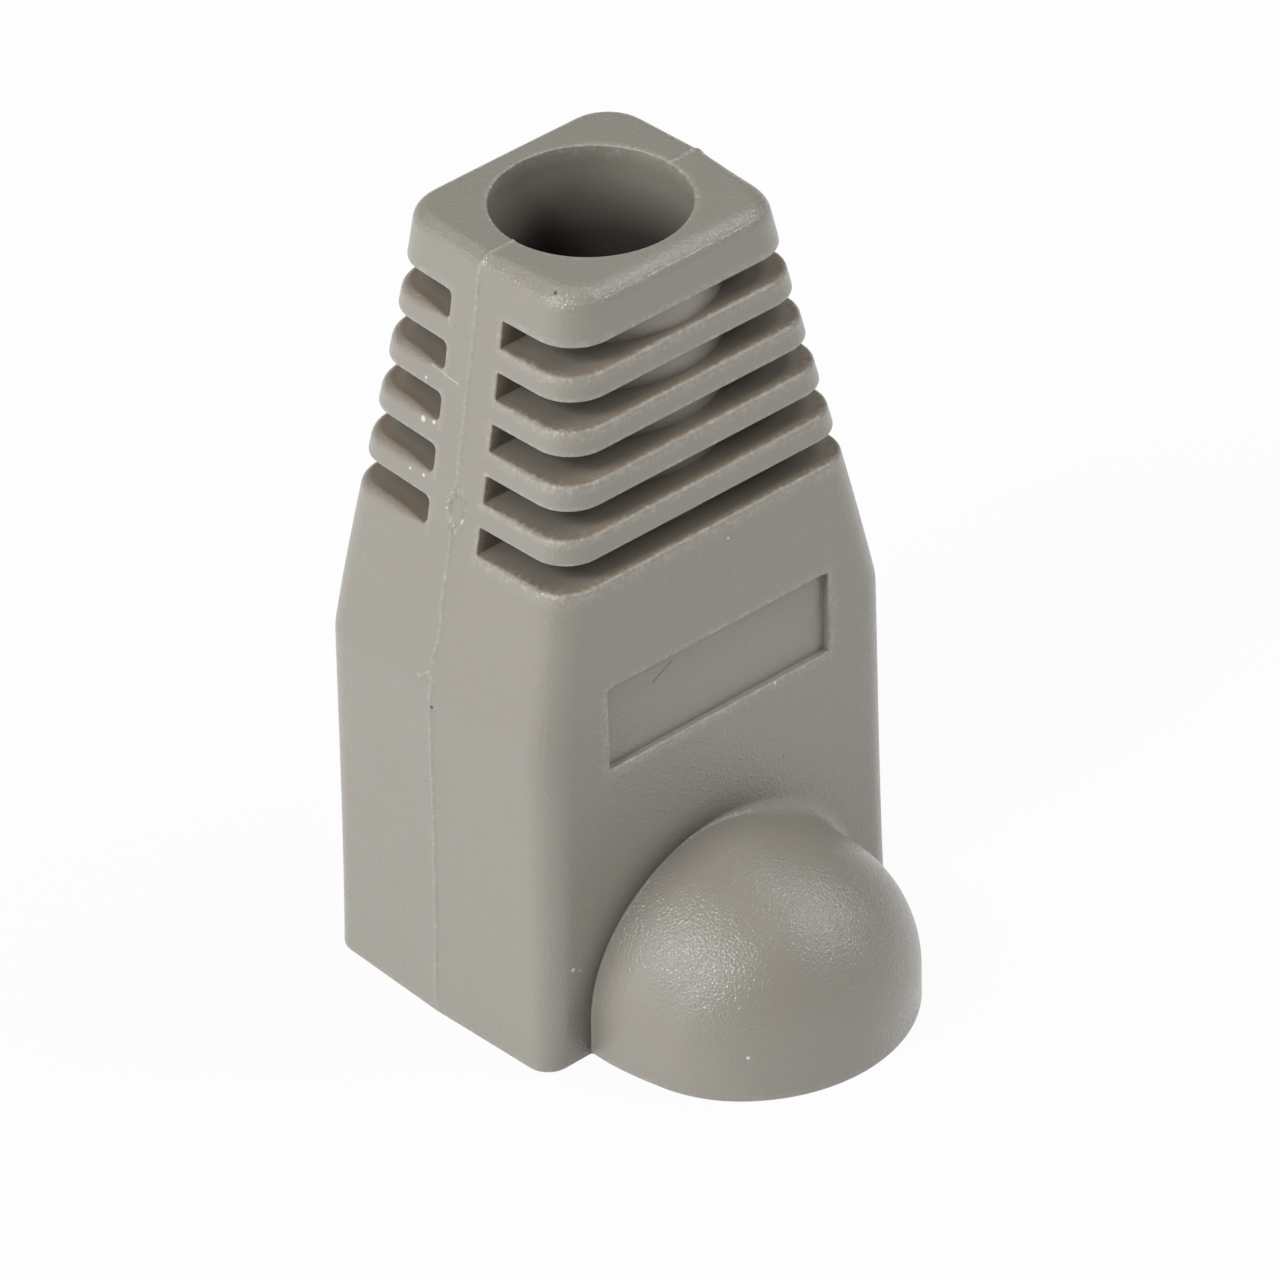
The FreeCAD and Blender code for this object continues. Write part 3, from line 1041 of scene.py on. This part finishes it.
# Pale and dark specks that the photo shows on the skin: X, Y, Z and radius of each, in millimetres
DUST = (
    (0.58, -4.69, 15.32, 0.05), (2.1, -4.85, 9.66, 0.05), (-1.1, -5.13, 5.5, 0.06),
    (-3.37, -9.46, 1.59, 0.06), (-5.81, -4.77, 3.46, 0.07), (-5.56, -4.72, 3.32, 0.06),
    (-5.13, 1.7, 18.97, 0.1), (-5.13, 1.24, 19.07, 0.07), (-4.91, 1.77, 20.23, 0.05),
    (-5.44, 2.0, 17.29, 0.05), (-5.45, 1.41, 17.34, 0.06))
DIRT = (
    (-3.9, -2.72, 24.69, 0.06), (-6.79, -0.14, 10.78, 0.06),
    (-6.73, -1.94, 11.62, 0.05), (2.4, -4.8, 6.9, 0.05))

# A fibre in the recess and a scratch on the left spine: both ends and half the width, in millimetres
FIBRE = (-2.345, -4.616, 11.748, -1.639, -4.609, 12.127, 0.03)
SCRATCH = (-4.81, 1.6, 20.71, -4.89, 0.4, 20.635, 0.022)


def within(tree, distance, outer, inner):
    """1 nearer than inner, 0 farther off than outer, and soft between them."""
    return add_node(tree, "ShaderNodeMapRange", Value=distance, From_Min=outer, From_Max=inner).outputs[0]


def speck(tree, place, spot):
    """How much of a point lies in a small round spot, given as X, Y, Z and radius in millimetres."""
    *centre, radius = spot
    far = add_node(tree, "ShaderNodeVectorMath", {"operation": "DISTANCE"}, _0=place, _1=centre)
    return within(tree, far.outputs["Value"], radius * 1.2, radius * 0.6)


def streak(tree, place, line):
    """How much of a point lies on a thin line, given as its two ends and half its width in millimetres."""
    start, end, half = np.array(line[0:3]), np.array(line[3:6]), line[6]
    along = end - start
    kind = "ShaderNodeVectorMath"
    from_start = add_node(tree, kind, {"operation": "SUBTRACT"}, _0=place, _1=start).outputs[0]
    reached = add_node(tree, kind, {"operation": "DOT_PRODUCT"}, _0=from_start, _1=along / (along @ along))
    reached = add_node(tree, "ShaderNodeClamp", Value=reached.outputs["Value"]).outputs[0]
    on_line = add_node(tree, kind, {"operation": "SCALE"}, _0=along, _3=reached).outputs[0]
    off_line = add_node(tree, kind, {"operation": "DISTANCE"}, _0=from_start, _1=on_line)
    return within(tree, off_line.outputs["Value"], half * 1.3, half * 0.7)


def specks(tree, place, spots):
    """How much of a point lies in any of the spots."""
    covered = speck(tree, place, spots[0])
    for spot in spots[1:]:
        covered = add_node(tree, "ShaderNodeMath", {"operation": "MAXIMUM"},
                           _0=covered, _1=speck(tree, place, spot)).outputs[0]
    return covered


def noise(tree, place, width, detail, roughness):
    """Soft noise whose patches are as wide as given, in metres."""
    return add_node(tree, "ShaderNodeTexNoise", Vector=place, Scale=MM / width, Detail=detail,
                    Roughness=roughness).outputs[0]


def blend(tree, amount, under, over):
    """One colour over another."""
    return add_node(tree, "ShaderNodeMix", {"data_type": "RGBA"}, _0=amount, _6=under, _7=over).outputs[2]


def mark(tree, name):
    """One of the mesh's marks as a number."""
    return add_node(tree, "ShaderNodeAttribute", {"attribute_name": name}).outputs["Fac"]


def times(tree, first, second):
    """Product of two numbers."""
    return add_node(tree, "ShaderNodeMath", {"operation": "MULTIPLY"}, _0=first, _1=second).outputs[0]


def soft_pvc(finish):
    """Plasticised PVC, injection moulded in a spark-eroded tool.

    The eroded steel leaves a fine grain of shallow craters under a thin film of plasticiser, so the skin is
    dull and breaks each highlight into sparks. Ground blades and a ground pin made the slots and the bore,
    which are smoother. Just inside the slots a warm brown is painted, for light glowing through the PVC.
    Deep in the bore, at the slots' ends and at the hood's foot a darker colour is painted for shade, and
    rubbed and torn edges are paler than the body.
    """
    material = bpy.data.materials.new("soft PVC, spark-eroded grain")
    material.use_nodes = True
    tree = material.node_tree
    tree.nodes.clear()
    object_place = add_node(tree, "ShaderNodeTexCoord").outputs["Object"]
    place = add_node(tree, "ShaderNodeVectorMath", {"operation": "SCALE"}, _0=object_place, _3=1 / MM)
    place = place.outputs[0]

    clouds = noise(tree, place, finish.cloud_width, 2.0, 0.5)
    skin = blend(tree, clouds, (*finish.shade_colour, 1), (*finish.body_colour, 1))

    wear, slot_glow_amount, shade, smooth_skin = (mark(tree, name) for name in MARKS)
    nicks = noise(tree, place, finish.nick_width, 3.0, 0.6)
    rubbed = add_node(tree, "ShaderNodeMapRange", Value=nicks, From_Min=0.46, From_Max=0.66, To_Min=0.2)
    worn = times(tree, wear, rubbed.outputs[0])
    flecks = add_node(tree, "ShaderNodeMapRange", Value=worn, From_Min=0.5, From_Max=0.7, To_Max=0.7)
    # The first two layers are painted light: the warm glow just inside the slots and the shade in the deep
    # places
    layers = (
        (times(tree, slot_glow_amount, finish.slot_glow_strength), finish.slot_glow_colour),
        (times(tree, shade, finish.shade_strength), finish.painted_shade_colour),
        (worn, finish.worn_colour),
        (flecks.outputs[0], finish.dust_colour),
        (specks(tree, place, DUST), finish.dust_colour),
        (specks(tree, place, DIRT), finish.dirt_colour),
        (streak(tree, place, FIBRE), finish.fibre_colour),
        (streak(tree, place, SCRATCH), finish.worn_colour))
    for amount, over in layers:
        skin = blend(tree, amount, skin, (*over, 1))

    craters = add_node(tree, "ShaderNodeTexVoronoi", Vector=place, Scale=MM / finish.grain_width)
    fine = noise(tree, place, finish.grain_width, 2.0, 0.6)
    height = add_node(tree, "ShaderNodeMath", {"operation": "ADD"}, _0=craters.outputs["Distance"], _1=fine)
    height = height.outputs[0]
    eroded = add_node(tree, "ShaderNodeMapRange", Value=smooth_skin,
                      To_Min=1.0, To_Max=finish.ground_grain).outputs[0]
    depth = finish.grain_depth
    film_grain = add_node(tree, "ShaderNodeBump", Height=height, Strength=eroded, Distance=depth)
    under_film = times(tree, eroded, finish.skin_grain)
    skin_grain = add_node(tree, "ShaderNodeBump", Height=height, Strength=under_film, Distance=depth)

    shader = add_node(tree, "ShaderNodeBsdfPrincipled", Base_Color=skin, Roughness=finish.skin_roughness,
                      IOR=PVC_INDEX, Metallic=0.0, Coat_Weight=finish.film,
                      Coat_Roughness=finish.film_roughness, Coat_IOR=FILM_INDEX,
                      Normal=skin_grain.outputs[0], Coat_Normal=film_grain.outputs[0])
    add_node(tree, "ShaderNodeOutputMaterial", _0=shader.outputs[0])
    return material


class MakeBoot(bpy.types.Operator):
    """Makes the moulded boot, which stands for the CAD solid"""

    bl_idname = "boot.make_moulding"
    bl_label = "Boot"

    def execute(self, context):
        s = context.scene.boot_sizes
        shape = moulding(s)
        mesh = shell("boot_moulding", s, shape.patches)
        boot = piece("boot_moulding", mesh, soft_pvc(context.scene.boot_finish))
        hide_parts("boot")
        flat = boot.modifiers.new("even shading", "WEIGHTED_NORMAL")
        flat.keep_sharp = True
        return {"FINISHED"}


class MakeStudio(bpy.types.Operator):
    """Makes the floor, the lights and the camera"""

    bl_idname = "boot.make_studio"
    bl_label = "Studio"

    def execute(self, context):
        studio_floor()
        studio_lights(context.scene)
        studio_camera(context.scene)
        context.scene.view_settings.view_transform = "Standard"
        return {"FINISHED"}


def studio_floor():
    """A plain pale floor that reads as white and keeps a soft shadow."""
    mesh = bpy.data.meshes.new("studio_floor")
    reach = 600 * MM
    corners = [(-reach, -reach, 0), (reach, -reach, 0), (reach, reach, 0), (-reach, reach, 0)]
    mesh.from_pydata(corners, [], [(0, 1, 2, 3)])
    floor = bpy.data.objects.new("studio_floor", mesh)
    gap = 0.01 * MM
    floor.location.z = -gap
    bpy.context.scene.collection.objects.link(floor)
    material = bpy.data.materials.new("white floor")
    material.use_nodes = True
    tree = material.node_tree
    tree.nodes.clear()
    output = add_node(tree, "ShaderNodeOutputMaterial")
    matt = add_node(tree, "ShaderNodeBsdfDiffuse", Color=(0.8, 0.8, 0.8, 1))
    glow = add_node(tree, "ShaderNodeEmission", Color=(1, 1, 1, 1), Strength=1.0)
    ray = add_node(tree, "ShaderNodeLightPath")
    seen = add_node(tree, "ShaderNodeMath", {"operation": "MAXIMUM"},
                    _0=ray.outputs["Is Camera Ray"], _1=ray.outputs["Is Glossy Ray"])
    glow_share = 0.95
    glowing = times(tree, seen.outputs[0], glow_share)
    mix = add_node(tree, "ShaderNodeMixShader", _0=glowing, _1=matt.outputs[0], _2=glow.outputs[0])
    tree.links.new(mix.outputs[0], output.inputs[0])
    floor.data.materials.append(material)


# Soft lights: name, azimuth from +X towards +Y and elevation in degrees, size in metres, power in watts
LIGHTS = (
    ("low_left_light", 168, 14, 0.5, 1.44),
    ("high_left_light", 187, 44, 0.12, 1.02),
    ("right_light", 319, 37, 0.16, 0.58),
    ("high_right_light", 335, 60, 0.16, 0.45),
    ("back_light", 90, 60, 0.16, 0.26))


def soft_light(name, azimuth, elevation, size, power):
    """A square soft light half a metre from the boot's middle."""
    lamp = bpy.data.lights.new(name, "AREA")
    lamp.shape = "SQUARE"
    lamp.size = size
    lamp.energy = power
    thing = bpy.data.objects.new(name, lamp)
    turned, raised = math.radians(azimuth), math.radians(elevation)
    level = math.cos(raised)
    way = Vector((math.cos(turned) * level, math.sin(turned) * level, math.sin(raised)))
    distance = 500 * MM
    thing.location = way * distance + MIDDLE
    thing.rotation_euler = (-way).to_track_quat("-Z", "Y").to_euler()
    bpy.context.scene.collection.objects.link(thing)


def studio_lights(scene):
    """The soft lights and a dim room. The camera sees the room as white."""
    world = bpy.data.worlds.new("studio")
    scene.world = world
    world.use_nodes = True
    tree = world.node_tree
    tree.nodes.clear()
    output = add_node(tree, "ShaderNodeOutputWorld")
    room = add_node(tree, "ShaderNodeBackground", Color=(0.96, 0.98, 1.04, 1), Strength=0.11)
    white = add_node(tree, "ShaderNodeBackground", Color=(1, 1, 1, 1), Strength=1.0)
    ray = add_node(tree, "ShaderNodeLightPath")
    seen = ray.outputs["Is Camera Ray"]
    mix = add_node(tree, "ShaderNodeMixShader", _0=seen, _1=room.outputs[0], _2=white.outputs[0])
    tree.links.new(mix.outputs[0], output.inputs[0])
    for light in LIGHTS:
        soft_light(*light)


def studio_camera(scene):
    """The camera of the photograph, found from the boot's own edges."""
    azimuth, elevation, roll = (math.radians(a) for a in (-41.26, 34.88, -1.55))
    offset_x, offset_y, distance = -0.974 * MM, -1.031 * MM, 297.98 * MM
    level = math.cos(elevation)
    back = Vector((math.sin(azimuth) * level, -math.cos(azimuth) * level, math.sin(elevation)))
    right = Vector((math.cos(azimuth), math.sin(azimuth), 0))
    up = back.cross(right)
    right_rolled = math.cos(roll) * right + math.sin(roll) * up
    up_rolled = -math.sin(roll) * right + math.cos(roll) * up
    data = bpy.data.cameras.new("camera")
    focal_pixels, picture_pixels, sensor_width = 10370.3, 1280, 36
    data.sensor_width = sensor_width
    data.sensor_fit = "HORIZONTAL"
    data.lens = focal_pixels * sensor_width / picture_pixels
    data.clip_start = 0.01
    data.clip_end = 10
    camera = bpy.data.objects.new("camera", data)
    camera.matrix_world = Matrix((
        (right_rolled.x, up_rolled.x, back.x, 0),
        (right_rolled.y, up_rolled.y, back.y, 0),
        (right_rolled.z, up_rolled.z, back.z, 0),
        (0, 0, 0, 1)))
    camera.location = MIDDLE - offset_x * right_rolled + offset_y * up_rolled + distance * back
    scene.collection.objects.link(camera)
    scene.camera = camera


class BootPanel(bpy.types.Panel):
    """Sizes, colours and buttons for the boot"""

    bl_idname = "VIEW3D_PT_boot"
    bl_label = "Strain Relief Boot"
    bl_space_type = "VIEW_3D"
    bl_region_type = "UI"
    bl_category = "Boot"

    def draw(self, context):
        layout = self.layout
        for operator in OPERATORS:
            layout.operator(operator.bl_idname)
        for group in (context.scene.boot_sizes, context.scene.boot_finish):
            box = layout.box()
            for name in group.__annotations__:
                box.prop(group, name)


OPERATORS = (MakeBoot, MakeStudio)
CLASSES = (BootSizes, Finish) + OPERATORS + (BootPanel,)


def register():
    """Makes the sizes, the operators and the panel known to Blender."""
    for kind in CLASSES:
        bpy.utils.register_class(kind)
    bpy.types.Scene.boot_sizes = bpy.props.PointerProperty(type=BootSizes)
    bpy.types.Scene.boot_finish = bpy.props.PointerProperty(type=Finish)


def unregister():
    """Undoes register."""
    del bpy.types.Scene.boot_finish
    del bpy.types.Scene.boot_sizes
    for kind in reversed(CLASSES):
        bpy.utils.unregister_class(kind)


def main():
    """Makes the whole scene."""
    register()
    bpy.ops.boot.make_moulding()
    bpy.ops.boot.make_studio()


if __name__ == "__main__":
    main()
